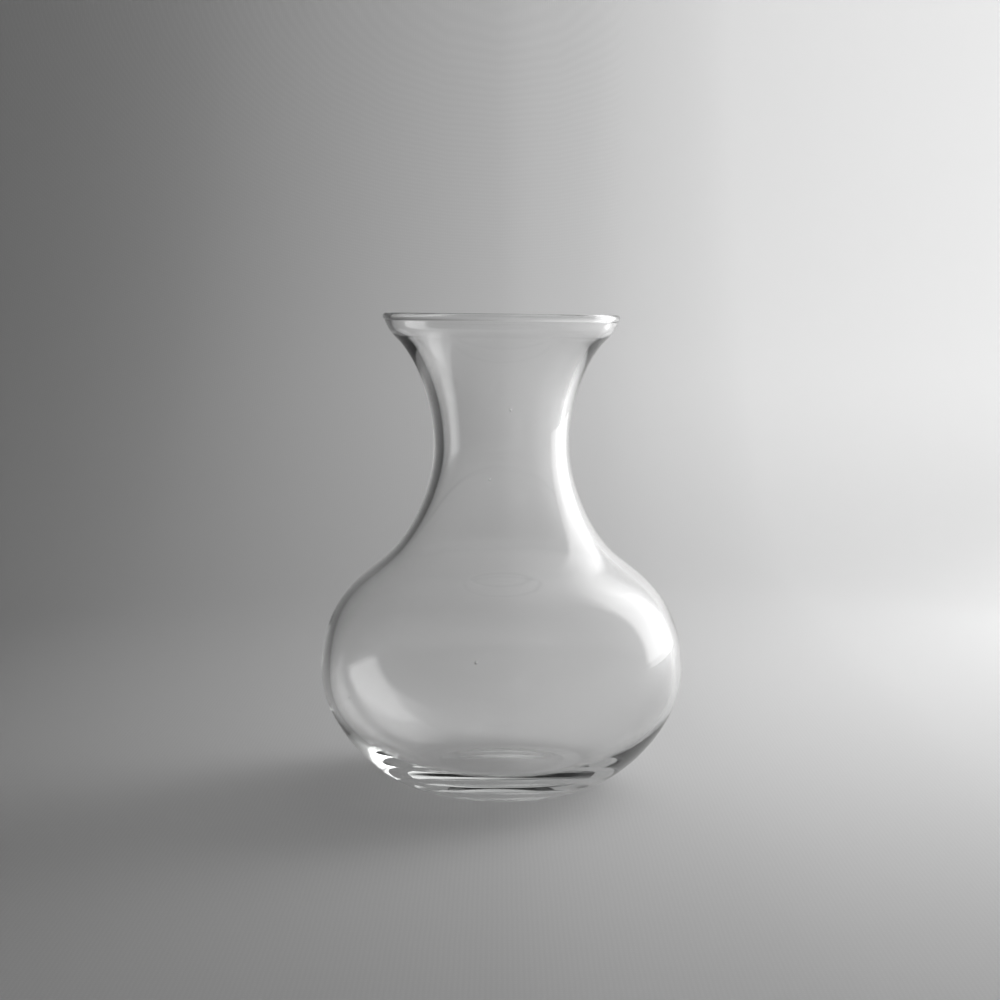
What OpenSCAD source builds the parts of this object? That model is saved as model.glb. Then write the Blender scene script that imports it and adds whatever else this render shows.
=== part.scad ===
// Glass bud vase: a single piece of clear glass with a round belly on a small thick base,
// a narrow neck, and a mouth that flares out to a rounded lip.
// Millimetres, +Z up. The origin is on the axis, on the surface that the vase stands on.

/* [Outside] */
// Height from the table to the top of the lip
height = 120; // [116:0.5:126]
// Outer diameter of the ring that the vase stands on
foot_d = 42.4; // [38:0.2:46]
// Outer diameter at the widest point of the belly
belly_d = 92; // [86:0.2:98]
// Height of the widest point of the belly
belly_z = 29.5; // [26:0.5:33]
// Outer diameter where the shoulder turns from bulging to hollow
shoulder_d = 61.4; // [56:0.2:66]
// Height where the shoulder turns from bulging to hollow
shoulder_z = 57.6; // [55:0.2:60]
// Outer diameter at the narrowest point of the neck
neck_d = 34.5; // [31:0.5:38]
// Height of the narrowest point of the neck
neck_z = 86.5; // [83:0.5:90]
// Outer diameter just under the lip
flare_d = 52.8; // [52:0.2:56]
// How far below the top of the lip the flare ends
flare_drop = 6.4; // [5:0.1:7]

/* [Glass thickness] */
// Wall at the belly
belly_wall = 2.1; // [1.5:0.1:3]
// Wall at the shoulder
shoulder_wall = 2.1; // [1.5:0.1:3]
// Wall at the neck
neck_wall = 2.5; // [1.5:0.1:3.5]
// Wall just under the lip
flare_wall = 1.3; // [1.1:0.05:1.8]
// Height of the inside floor above the table
floor_z = 4.4; // [3.6:0.2:8]
// Diameter of the level part of the inside floor
floor_d = 38; // [30:1:44]

/* [Base] */
// Diameter of the hollow under the base
punt_d = 33; // [24:0.5:36]
// Depth of the hollow under the base
punt_h = 1; // [0.6:0.1:3]

/* [Lip] */
// Outer diameter of the mouth
mouth_d = 60; // [58:0.2:62]
// Radius of the round bead along the lip
lip_r = 0.95; // [0.85:0.05:1.2]
// Wall where it runs into the bead, which is thinner than the bead
lip_wall = 1.4; // [1:0.1:1.6]

/* [Hidden] */

// Straight steps along each curved stretch of the outline, and around each rounded edge
curve_steps = 12;
edge_steps = 14;
// Steps once round the vase
$fn = 144;

// How far the wall leans outwards from upright, in degrees, going up
foot_lean = 79;
shoulder_lean = -51.5;
flare_lean = 46;

// Levels and radii that follow from the dimensions above
flare_z = height - flare_drop;
lip_z = height - lip_r;
lip_x = mouth_d / 2 - lip_r;

// A reach is how far a curve keeps to the direction of its end before it bends away.
// A station of the wall: [radius, height, lean, reach below, reach above, wall].
foot = [foot_d / 2, 0, foot_lean, 0, 11.5, 0];
belly = [belly_d / 2, belly_z, 0, 12.5, 17.5, belly_wall];
shoulder = [shoulder_d / 2, shoulder_z, shoulder_lean, 7, 11.4, shoulder_wall];
neck = [neck_d / 2, neck_z, 0, 8.7, 15, neck_wall];
flare = [flare_d / 2, flare_z, flare_lean, 4.2, 2.4, flare_wall];

// Above the flare the wall turns up again, and runs into the bead with this lean and reach
lip_lean = 20;
lip_reach = 2.2;

// The wall thins on its way up, so at the flare its inside leans out by this much more,
// and keeps to that direction over this reach below
flare_taper = 3.2;
taper_reach = 6.2;

// Reaches of the hollow where it meets the ring, and of the inside where it leaves the
// level floor and where it meets the belly
punt_reach = 6;
floor_reach = 11.5;
inner_belly_reach = 13;

function along(lean) = [sin(lean), cos(lean)];
function inwards(lean) = [-cos(lean), sin(lean)];
function outer_point(s) = [s[0], s[1]];
function inner_point(s) = outer_point(s) + s[5] * inwards(s[2]);

// Cubic curve from p0 to p3, pulled towards p1 and p2, without its last point
function curve(p0, p1, p2, p3) = [
    for (i = [0 : curve_steps - 1])
        let (t = i / curve_steps, u = 1 - t)
            u * u * u * p0 + 3 * u * u * t * p1 + 3 * u * t * t * p2 + t * t * t * p3
];

// Curves between two stations, on the outside going up and on the inside going down
function outer_curve(a, b) =
    curve(outer_point(a), outer_point(a) + a[4] * along(a[2]),
          outer_point(b) - b[3] * along(b[2]), outer_point(b));
function inner_curve(a, b) =
    curve(inner_point(a), inner_point(a) - a[3] * along(a[2]),
          inner_point(b) + b[4] * along(b[2]), inner_point(b));

// Arc from one angle to another, with both its ends
function arc(centre, radius, from, to) = [
    for (i = [0 : edge_steps])
        let (a = from + (to - from) * i / edge_steps)
            centre + radius * [cos(a), sin(a)]
];

// The hollow under the base is level on the axis, and runs out level onto the ring
punt = curve([0, punt_h], [punt_d / 5, punt_h], [punt_d / 2 - punt_reach, 0], [punt_d / 2, 0]);
ring = [punt_d / 2, 0];

// The bead runs from the groove under its outer edge, over the top, to the groove inside
lip_half = asin(lip_wall / 2 / lip_r);
lip = arc([lip_x, lip_z], lip_r, -90 - lip_lean + lip_half, 270 - lip_lean - lip_half);
lip_start = lip[0];
lip_end = lip[edge_steps];

// Outside, from the foot up to the lip
outside = concat(
    outer_curve(foot, belly),
    outer_curve(belly, shoulder),
    outer_curve(shoulder, neck),
    outer_curve(neck, flare),
    curve(outer_point(flare), outer_point(flare) + flare[4] * along(flare_lean),
          lip_start - lip_reach * along(lip_lean), lip_start)
);

// Inside, from the lip down to the level floor
flare_way = along(flare_lean + flare_taper);
floor_edge = [floor_d / 2, floor_z];
inside = concat(
    curve(lip_end, lip_end - lip_reach * along(lip_lean),
          inner_point(flare) + flare[4] * flare_way, inner_point(flare)),
    curve(inner_point(flare), inner_point(flare) - taper_reach * flare_way,
          inner_point(neck) + [0, neck[4]], inner_point(neck)),
    inner_curve(neck, shoulder),
    inner_curve(shoulder, belly),
    curve(inner_point(belly), inner_point(belly) - [0, inner_belly_reach],
          floor_edge + [floor_reach, 0], floor_edge),
    [floor_edge, [0, floor_z]]
);

module vase() {
    color("lightgrey", 0.35)
        rotate_extrude()
            polygon(concat(punt, [ring], outside, lip, inside));
}

vase();
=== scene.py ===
"""Looks for a clear glass bud vase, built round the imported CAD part. Metres, +Z up."""

import math

import bmesh
import bpy
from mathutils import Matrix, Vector, noise


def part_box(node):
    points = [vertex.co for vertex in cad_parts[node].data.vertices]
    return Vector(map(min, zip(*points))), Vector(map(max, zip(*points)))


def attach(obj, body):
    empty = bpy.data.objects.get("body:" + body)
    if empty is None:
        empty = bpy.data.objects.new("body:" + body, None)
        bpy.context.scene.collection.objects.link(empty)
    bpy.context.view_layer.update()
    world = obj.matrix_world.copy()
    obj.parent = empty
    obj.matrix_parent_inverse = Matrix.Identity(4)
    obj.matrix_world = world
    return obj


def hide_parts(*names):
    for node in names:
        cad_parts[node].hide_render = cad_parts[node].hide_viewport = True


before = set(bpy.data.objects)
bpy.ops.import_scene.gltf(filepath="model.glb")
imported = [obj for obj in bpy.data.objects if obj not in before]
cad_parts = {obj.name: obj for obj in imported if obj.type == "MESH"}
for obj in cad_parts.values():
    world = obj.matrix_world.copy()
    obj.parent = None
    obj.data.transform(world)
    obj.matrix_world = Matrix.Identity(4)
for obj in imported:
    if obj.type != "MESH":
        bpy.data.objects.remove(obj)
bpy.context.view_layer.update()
low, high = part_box("vase")
HEIGHT = high.z - low.z


# ---------------------------------------------------------------- helpers

def smooth(edge0, edge1, x):
    """A smooth step from 0 at edge0 to 1 at edge1, which may be the lower of the two."""
    t = min(1.0, max(0.0, (x - edge0) / (edge1 - edge0)))
    return t * t * (3 - 2 * t)


def add_object(name, bm, smooth_shading):
    """Turns a bmesh into an object in the scene, and frees it."""
    mesh = bpy.data.meshes.new(name)
    bm.normal_update()
    bm.to_mesh(mesh)
    bm.free()
    mesh.polygons.foreach_set("use_smooth", [smooth_shading] * len(mesh.polygons))
    obj = bpy.data.objects.new(name, mesh)
    bpy.context.scene.collection.objects.link(obj)
    return obj


def add_material(name):
    mat = bpy.data.materials.new(name)
    mat.use_nodes = True
    return mat


def map_range(nt, value, from_min, from_max, to_min=0.0, to_max=1.0, kind="SMOOTHSTEP"):
    node = nt.nodes.new("ShaderNodeMapRange")
    node.interpolation_type = kind
    node.inputs["From Min"].default_value = from_min
    node.inputs["From Max"].default_value = from_max
    node.inputs["To Min"].default_value = to_min
    node.inputs["To Max"].default_value = to_max
    nt.links.new(value, node.inputs["Value"])
    return node.outputs["Result"]


def combine(nt, operation, a, b):
    node = nt.nodes.new("ShaderNodeMath")
    node.operation = operation
    nt.links.new(a, node.inputs[0])
    nt.links.new(b, node.inputs[1])
    return node.outputs[0]


def scaled(nt, colour, factor):
    node = nt.nodes.new("ShaderNodeVectorMath")
    node.operation = "SCALE"
    nt.links.new(colour, node.inputs[0])
    nt.links.new(factor, node.inputs["Scale"])
    return node.outputs["Vector"]


# ---------------------------------------------------------------- outline

# Points of the CAD mesh this close together are one point, and its axis is this wide
SAME_PLACE = 1e-7
AXIS_WIDTH = 1e-6

# A point of the section this close to the line between its neighbours is left out
STRAIGHT = 5e-7


def cad_outline(obj):
    """The CAD node's section as (radius, height) points, from the axis under the base,
    up the outside, over the lip and down to the axis on the inside floor."""
    bm = bmesh.new()
    bm.from_mesh(obj.data)
    bmesh.ops.remove_doubles(bm, verts=bm.verts, dist=SAME_PLACE)
    seam = {v for v in bm.verts if abs(v.co.y) < SAME_PLACE and v.co.x > -SAME_PLACE}
    under = min(seam, key=lambda v: (round(v.co.x, 6), v.co.z))
    chain, last = [under], None
    while True:
        here = chain[-1]
        ahead = [e.other_vert(here) for e in here.link_edges if e.other_vert(here) in seam]
        ahead = [v for v in ahead if v is not last]
        if not ahead:
            break
        last = here
        chain.append(min(ahead, key=lambda v: (v.co - here.co).length))
    points = [Vector((v.co.x, v.co.z)) for v in chain]
    bm.free()
    if points[-1].x > AXIS_WIDTH:
        points.append(Vector((0.0, points[-1].y)))
    bends = [points[0]]
    for point, ahead in zip(points[1:], points[2:]):
        step, leap = point - bends[-1], ahead - bends[-1]
        if abs(step.x * leap.y - step.y * leap.x) > STRAIGHT * leap.length:
            bends.append(point)
    return bends + [points[-1]]


def refined(points, steps):
    """The same outline with steps points for each one, on a smooth curve through them all."""
    out = []
    count = len(points)
    for i in range(count - 1):
        p1, p2 = points[i], points[i + 1]
        p0 = points[i - 1] if i else Vector((-p2.x, p2.y))
        p3 = points[i + 2] if i + 2 < count else Vector((-p1.x, p1.y))
        d0 = max((p1 - p0).length, 1e-9) ** 0.5
        d1 = max((p2 - p1).length, 1e-9) ** 0.5
        d2 = max((p3 - p2).length, 1e-9) ** 0.5
        m1 = (p2 - p1) + d1 * ((p1 - p0) / d0 - (p2 - p0) / (d0 + d1))
        m2 = (p2 - p1) + d1 * ((p3 - p2) / d2 - (p3 - p1) / (d1 + d2))
        for k in range(steps):
            t = k / steps
            out.append(
                (2 * t ** 3 - 3 * t * t + 1) * p1
                + (t ** 3 - 2 * t * t + t) * m1
                + (3 * t * t - 2 * t ** 3) * p2
                + (t ** 3 - t * t) * m2
            )
    out.append(points[-1])
    for point in out:
        point.y = max(point.y, 0.0)
    return out


# ---------------------------------------------------------------- glass shape

# How finely the glass is turned: steps round the axis, and steps between two CAD rings
TURNS = 320
STEPS = 2

# Blown glass isn't quite even: slow waves on each side (metres), that fade out at the foot.
# Each side has its own stretch of the noise.
INNER_WAVE, OUTER_WAVE = 0.05e-3, 0.02e-3
INNER_NOISE, OUTER_NOISE = Vector((3.1, 7.7, 1.3)), Vector((9.2, 4.4, 6.8))
WAVE_SIZE = 0.024
FOOT_TOP = 0.008

# The lip dips slightly towards +X (metres at its edge), and the wall under it a little less
LIP_DIP = 0.35e-3
MOUTH_R = 0.03
DIP_BOTTOM = 0.095

# Seeds, the small bubbles in the wall: (X, height, radius, stretch upwards), on the side of -Y
SEEDS = (
    (-0.0060, 0.0386, 0.30e-3, 1.2),
    (-0.0029, 0.0794, 0.25e-3, 1.3),
    (0.0021, 0.0966, 0.21e-3, 1.6),
    (-0.0366, 0.0270, 0.22e-3, 1.5),
)
SEED_TURNS, SEED_ROWS = 12, 8


def uneven(place, normal, inner):
    """A point of the turned surface, moved by the waves and by the dip of the lip."""
    wave = INNER_WAVE if inner else OUTER_WAVE
    offset = INNER_NOISE if inner else OUTER_NOISE
    shift = wave * noise.noise(place / WAVE_SIZE + offset) * smooth(0.0, FOOT_TOP, place.z)
    dip = LIP_DIP * (place.x / MOUTH_R) * smooth(DIP_BOTTOM, HEIGHT, place.z)
    return place + shift * normal - Vector((0, 0, dip))


def lathe(bm, points, turns):
    """Adds a closed surface turned round the Z axis, from an outline with its ends on it."""
    top = max(range(len(points)), key=lambda i: points[i].y)
    first = bm.verts.new((0, 0, points[0].y))
    rings = []
    for i in range(1, len(points) - 1):
        along = points[i + 1] - points[i - 1]
        out = Vector((along.y, -along.x)).normalized()
        ring = []
        for k in range(turns):
            a = 2 * math.pi * k / turns
            place = Vector((points[i].x * math.cos(a), points[i].x * math.sin(a), points[i].y))
            normal = Vector((out.x * math.cos(a), out.x * math.sin(a), out.y))
            ring.append(bm.verts.new(uneven(place, normal, i > top)))
        rings.append(ring)
    last = bm.verts.new((0, 0, points[-1].y))
    for k in range(turns):
        j = (k + 1) % turns
        bm.faces.new((first, rings[0][j], rings[0][k]))
        for lower, upper in zip(rings, rings[1:]):
            bm.faces.new((lower[k], lower[j], upper[j], upper[k]))
        bm.faces.new((last, rings[-1][k], rings[-1][j]))


def wall_middle(points, z):
    """The radius of the middle of the wall at a height, measured from the outline."""
    crossings = [
        p.x + (q.x - p.x) * (z - p.y) / (q.y - p.y)
        for p, q in zip(points, points[1:])
        if (p.y - z) * (q.y - z) <= 0 and p.y != q.y
    ]
    return (max(crossings) + min(crossings)) / 2


def seed(bm, points, x, z, radius, stretch):
    """Adds a bubble: a small closed surface that faces inwards, in the middle of the wall."""
    r = wall_middle(points, z)
    centre = Vector((x, -math.sqrt(r * r - x * x), z))
    made = bmesh.ops.create_uvsphere(
        bm, u_segments=SEED_TURNS, v_segments=SEED_ROWS, radius=radius
    )
    for v in made["verts"]:
        v.co = centre + Vector((v.co.x, v.co.y, v.co.z * stretch))
    faces = {f for v in made["verts"] for f in v.link_faces}
    bmesh.ops.reverse_faces(bm, faces=list(faces))


def glass_body():
    bm = bmesh.new()
    points = refined(cad_outline(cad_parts["vase"]), STEPS)
    lathe(bm, points, TURNS)
    for x, z, radius, stretch in SEEDS:
        seed(bm, points, x, z, radius, stretch)
    return add_object("vase_glass", bm, smooth_shading=True)


# ---------------------------------------------------------------- glass material

# Glass takes a faint grey-green tint with depth
TINT = (0.90, 0.93, 0.91, 1)
TINT_DENSITY = 6.0

# Smudges: where the noise is between these levels the roughness grows up to this
SMUDGE_SCALE = 38.0
SMUDGE_LEVELS = (0.55, 0.80)
SMUDGE_ROUGHNESS = 0.05

# Scuffs: between these heights, going down, the roughness grows up to this
SCUFF_HEIGHTS = (0.25e-3, 0.02e-3)
SCUFF_ROUGHNESS = 0.12


def glass_material():
    """Clear glass: faint smudges from handling, and the ring that it stands on is scuffed."""
    mat = add_material("clear_glass")
    nt = mat.node_tree
    bsdf = nt.nodes["Principled BSDF"]
    bsdf.inputs["Base Color"].default_value = (1, 1, 1, 1)
    bsdf.inputs["Transmission Weight"].default_value = 1.0
    bsdf.inputs["IOR"].default_value = 1.5
    body = nt.nodes.new("ShaderNodeVolumeAbsorption")
    body.inputs["Color"].default_value = TINT
    body.inputs["Density"].default_value = TINT_DENSITY
    nt.links.new(body.outputs[0], nt.nodes["Material Output"].inputs["Volume"])

    place = nt.nodes.new("ShaderNodeTexCoord").outputs["Object"]
    cloud = nt.nodes.new("ShaderNodeTexNoise")
    cloud.inputs["Scale"].default_value = SMUDGE_SCALE
    cloud.inputs["Detail"].default_value = 3.0
    nt.links.new(place, cloud.inputs["Vector"])
    split = nt.nodes.new("ShaderNodeSeparateXYZ")
    nt.links.new(place, split.inputs[0])
    level, height = cloud.outputs["Fac"], split.outputs["Z"]
    smudges = map_range(nt, level, *SMUDGE_LEVELS, 0.0, SMUDGE_ROUGHNESS, "LINEAR")
    scuffs = map_range(nt, height, *SCUFF_HEIGHTS, 0.0, SCUFF_ROUGHNESS, "LINEAR")
    nt.links.new(combine(nt, "ADD", smudges, scuffs), bsdf.inputs["Roughness"])
    return mat


vase = glass_body()
vase.data.materials.append(glass_material())
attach(vase, "root")
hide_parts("vase")


# ---------------------------------------------------------------- paper tent

# A level disc, a wide bend, a wall all round, and a dome over it
FLAT_R = 0.34
BEND_R = 0.32
WALL_R = FLAT_R + BEND_R
WALL_TOP = 0.5
DOME_RISE = 0.6
TENT_TURNS = 128
FLAT_STEPS = 11
ARC_STEPS = 48

# Painted light and shade on the paper: its grey is painted shade, dim on the left to pale on
# the right as if lit from the right, and its glow is painted light with the same lean: (X in
# metres, grey, glow)
PAPER_PAINTED_SHADE_AND_GLOW = (
    (-0.66, 0.12, 0.0),
    (-0.38, 0.29, 0.0),
    (-0.17, 0.50, 0.06),
    (0.0, 0.62, 0.32),
    (0.06, 0.65, 0.50),
    (0.13, 0.68, 0.74),
    (0.40, 0.74, 1.0),
)

# Painted shade: the paper's wall is darker towards the front, over these stretches of Y and of
# height, down to this share of its grey and of its glow
DARKER_Y = (0.2, -0.6)
DARKER_Z = (0.0, 0.1)
FRONT_SHARE = 0.15

# Painted light: the wall's glow grows with height, and from the front to the back
WALL_GLOW = 0.66
WALL_GLOW_Z = (-0.12, 0.10)
WALL_GLOW_Y = (-0.4, 0.5)

# Painted light: the table glows a little too, a pool of light from this far away in to the
# foot of the vase that lightens the vase's shadow
TABLE_GLOW = 0.22
TABLE_GLOW_R = (0.34, 0.02)

# The weave of the sheet: metres from thread to thread, and its share of the grey
WEAVE_PITCH = 0.001
WEAVE_DEPTH = 0.03


def ramp(nt, across, shades):
    """A smooth grey ramp along X through (X, grey) pairs."""
    node = nt.nodes.new("ShaderNodeValToRGB")
    node.color_ramp.interpolation = "CARDINAL"
    left, right = shades[0][0], shades[-1][0]
    while len(node.color_ramp.elements) < len(shades):
        node.color_ramp.elements.new(0.5)
    for element, (x, grey) in zip(node.color_ramp.elements, shades):
        element.position = (x - left) / (right - left)
        element.color = (grey, grey, grey, 1)
    nt.links.new(across, node.inputs["Fac"])
    return node.outputs["Color"]


def weave(nt, place, greys):
    """The greys with the fine weave of the sheet in them."""
    threads = []
    for direction in ("X", "Y"):
        bands = nt.nodes.new("ShaderNodeTexWave")
        bands.bands_direction = direction
        bands.inputs["Scale"].default_value = math.pi / 10 / WEAVE_PITCH
        bands.inputs["Distortion"].default_value = 1.5
        bands.inputs["Detail Scale"].default_value = 0.2
        nt.links.new(place, bands.inputs["Vector"])
        threads.append(bands.outputs["Fac"])
    crossed = combine(nt, "MULTIPLY", *threads)
    level = map_range(nt, crossed, 0.0, 1.0, 1 - WEAVE_DEPTH, 1 + WEAVE_DEPTH, "LINEAR")
    return scaled(nt, greys, level)


def paper_material():
    mat = add_material("paper")
    nt = mat.node_tree
    bsdf = nt.nodes["Principled BSDF"]
    bsdf.inputs["Roughness"].default_value = 0.9
    bsdf.inputs["Specular IOR Level"].default_value = 0.1
    place = nt.nodes.new("ShaderNodeTexCoord").outputs["Object"]
    split = nt.nodes.new("ShaderNodeSeparateXYZ")
    nt.links.new(place, split.inputs[0])
    x, y, z = split.outputs["X"], split.outputs["Y"], split.outputs["Z"]

    left, right = PAPER_PAINTED_SHADE_AND_GLOW[0][0], PAPER_PAINTED_SHADE_AND_GLOW[-1][0]
    across = map_range(nt, x, left, right, kind="LINEAR")
    # Painted shade in the grey and painted light in the glow, both dim on the left and bright
    # on the right
    greys = ramp(nt, across, [(at, grey) for at, grey, glow in PAPER_PAINTED_SHADE_AND_GLOW])
    glows = ramp(nt, across, [(at, glow) for at, grey, glow in PAPER_PAINTED_SHADE_AND_GLOW])

    # Painted shade: the wall's grey darkens towards the front
    front = map_range(nt, y, *DARKER_Y)
    raised = map_range(nt, z, *DARKER_Z, 0.0, 1.0 - FRONT_SHARE)
    loss = combine(nt, "MULTIPLY", front, raised)
    kept = map_range(nt, loss, 0.0, 1.0, 1.0, 0.0, "LINEAR")
    nt.links.new(weave(nt, place, scaled(nt, greys, kept)), bsdf.inputs["Base Color"])

    # Painted light: the paper wall glows, more higher up and towards the back
    up = map_range(nt, z, *WALL_GLOW_Z, 0.0, WALL_GLOW)
    back = map_range(nt, y, *WALL_GLOW_Y, FRONT_SHARE, 1.0)
    # Painted light: a pool of glow on the table, strongest at the foot of the vase
    reach = nt.nodes.new("ShaderNodeVectorMath")
    reach.operation = "LENGTH"
    nt.links.new(place, reach.inputs[0])
    table = map_range(nt, reach.outputs["Value"], *TABLE_GLOW_R, 0.0, TABLE_GLOW)
    wall = combine(nt, "MULTIPLY", up, back)
    nt.links.new(glows, bsdf.inputs["Emission Color"])
    nt.links.new(combine(nt, "ADD", wall, table), bsdf.inputs["Emission Strength"])
    return mat


def tent_section():
    """The tent's (radius, height) points, without the middle of the disc and the crown."""
    quarter = [math.pi / 2 * i / ARC_STEPS for i in range(ARC_STEPS + 1)]
    disc = [(FLAT_R * i / FLAT_STEPS, 0.0) for i in range(1, FLAT_STEPS + 1)]
    bend = [(FLAT_R + BEND_R * math.sin(a), BEND_R * (1 - math.cos(a))) for a in quarter[1:]]
    dome = [(WALL_R * math.cos(a), WALL_TOP + DOME_RISE * math.sin(a)) for a in quarter[:-1]]
    return [Vector(point) for point in disc + bend + dome]


def tent():
    bm = bmesh.new()
    spread = [2 * math.pi * k / TENT_TURNS for k in range(TENT_TURNS)]
    rings = [
        [bm.verts.new((p.x * math.cos(a), p.x * math.sin(a), p.y)) for a in spread]
        for p in tent_section()
    ]
    middle = bm.verts.new((0, 0, 0))
    crown = bm.verts.new((0, 0, WALL_TOP + DOME_RISE))
    for k in range(TENT_TURNS):
        j = (k + 1) % TENT_TURNS
        bm.faces.new((middle, rings[0][k], rings[0][j]))
        bm.faces.new((crown, rings[-1][j], rings[-1][k]))
        for inner, outer in zip(rings, rings[1:]):
            bm.faces.new((inner[k], outer[k], outer[j], inner[j]))
    obj = add_object("tent", bm, smooth_shading=True)
    obj.data.materials.append(paper_material())


tent()


# ---------------------------------------------------------------- diffuser

# The big light at the right, behind the vase: a patch of a sphere that arches over it
DIFFUSER_R = 0.45
DIFFUSER_Z = 0.05
DIFFUSER_STEPS_ROUND, DIFFUSER_STEPS_UP = 26, 45
DIFFUSER_STRENGTH = 2.15

# Its edges, in degrees round from +Y towards +X and in degrees up, and where the glow is
# full: it fades out towards both sides and towards the top, but not towards the bottom
DIFFUSER_FROM, DIFFUSER_TO = 36.0, 81.0
DIFFUSER_FULL_FROM, DIFFUSER_FULL_TO = 48.0, 74.0
DIFFUSER_LOW, DIFFUSER_HIGH = -6.0, 66.0
DIFFUSER_FULL_HIGH = 34.0


def diffuser_glow(turn, up):
    """How strongly the diffuser glows in a direction, from 0 to 1."""
    left = smooth(DIFFUSER_FROM, DIFFUSER_FULL_FROM, turn)
    right = smooth(DIFFUSER_TO, DIFFUSER_FULL_TO, turn)
    return left * right * smooth(DIFFUSER_HIGH, DIFFUSER_FULL_HIGH, up)


def diffuser_patch():
    bm = bmesh.new()
    glow = bm.verts.layers.float.new("glow")
    rows = []
    for i in range(DIFFUSER_STEPS_UP + 1):
        up = DIFFUSER_LOW + (DIFFUSER_HIGH - DIFFUSER_LOW) * i / DIFFUSER_STEPS_UP
        flat = DIFFUSER_R * math.cos(math.radians(up))
        z = DIFFUSER_Z + DIFFUSER_R * math.sin(math.radians(up))
        row = []
        for k in range(DIFFUSER_STEPS_ROUND + 1):
            turn = DIFFUSER_FROM + (DIFFUSER_TO - DIFFUSER_FROM) * k / DIFFUSER_STEPS_ROUND
            a = math.radians(turn)
            vert = bm.verts.new((flat * math.sin(a), flat * math.cos(a), z))
            vert[glow] = diffuser_glow(turn, up)
            row.append(vert)
        rows.append(row)
    for lower, upper in zip(rows, rows[1:]):
        for k in range(DIFFUSER_STEPS_ROUND):
            bm.faces.new((lower[k], lower[k + 1], upper[k + 1], upper[k]))
    return bm


def diffuser_material():
    """Light from the front side only, added to what shows through the sheet."""
    mat = add_material("diffuser")
    nt = mat.node_tree
    nt.nodes.clear()
    glow = nt.nodes.new("ShaderNodeAttribute")
    glow.attribute_name = "glow"
    behind = nt.nodes.new("ShaderNodeNewGeometry").outputs["Backfacing"]
    front = map_range(nt, behind, 0.0, 1.0, DIFFUSER_STRENGTH, 0.0, "LINEAR")
    light = nt.nodes.new("ShaderNodeEmission")
    nt.links.new(combine(nt, "MULTIPLY", glow.outputs["Fac"], front), light.inputs["Strength"])
    clear = nt.nodes.new("ShaderNodeBsdfTransparent")
    both = nt.nodes.new("ShaderNodeAddShader")
    nt.links.new(light.outputs[0], both.inputs[0])
    nt.links.new(clear.outputs[0], both.inputs[1])
    out = nt.nodes.new("ShaderNodeOutputMaterial")
    nt.links.new(both.outputs[0], out.inputs["Surface"])
    return mat


def diffuser():
    obj = add_object("diffuser", diffuser_patch(), smooth_shading=False)
    obj.data.materials.append(diffuser_material())
    obj.visible_shadow = False


diffuser()


# ---------------------------------------------------------------- world and light paths

WORLD_GREY = 0.02

world = bpy.data.worlds.new("world")
bpy.context.scene.world = world
world.use_nodes = True
background = world.node_tree.nodes["Background"]
background.inputs["Color"].default_value = (WORLD_GREY, WORLD_GREY, WORLD_GREY, 1)

bpy.context.scene.view_settings.view_transform = "Standard"

# Light has to get through the glass, and along it, many times over
cycles = bpy.context.scene.cycles
cycles.max_bounces = 48
cycles.glossy_bounces = 32
cycles.transmission_bounces = 48


# ---------------------------------------------------------------- camera

# In front of the vase, just under the level of its lip, and tilted down by so many degrees
CAMERA_X, CAMERA_Y = -0.0004, -0.5
CAMERA_UNDER_LIP = 0.0005
CAMERA_TILT = 5.33

camera_data = bpy.data.cameras.new("camera")
camera_data.lens = 71.1
camera_data.sensor_width = 36
camera_data.clip_start = 0.01
camera = bpy.data.objects.new("camera", camera_data)
camera.location = (CAMERA_X, CAMERA_Y, HEIGHT - CAMERA_UNDER_LIP)
camera.rotation_euler = (math.radians(90 - CAMERA_TILT), 0, 0)
bpy.context.scene.collection.objects.link(camera)
bpy.context.scene.camera = camera
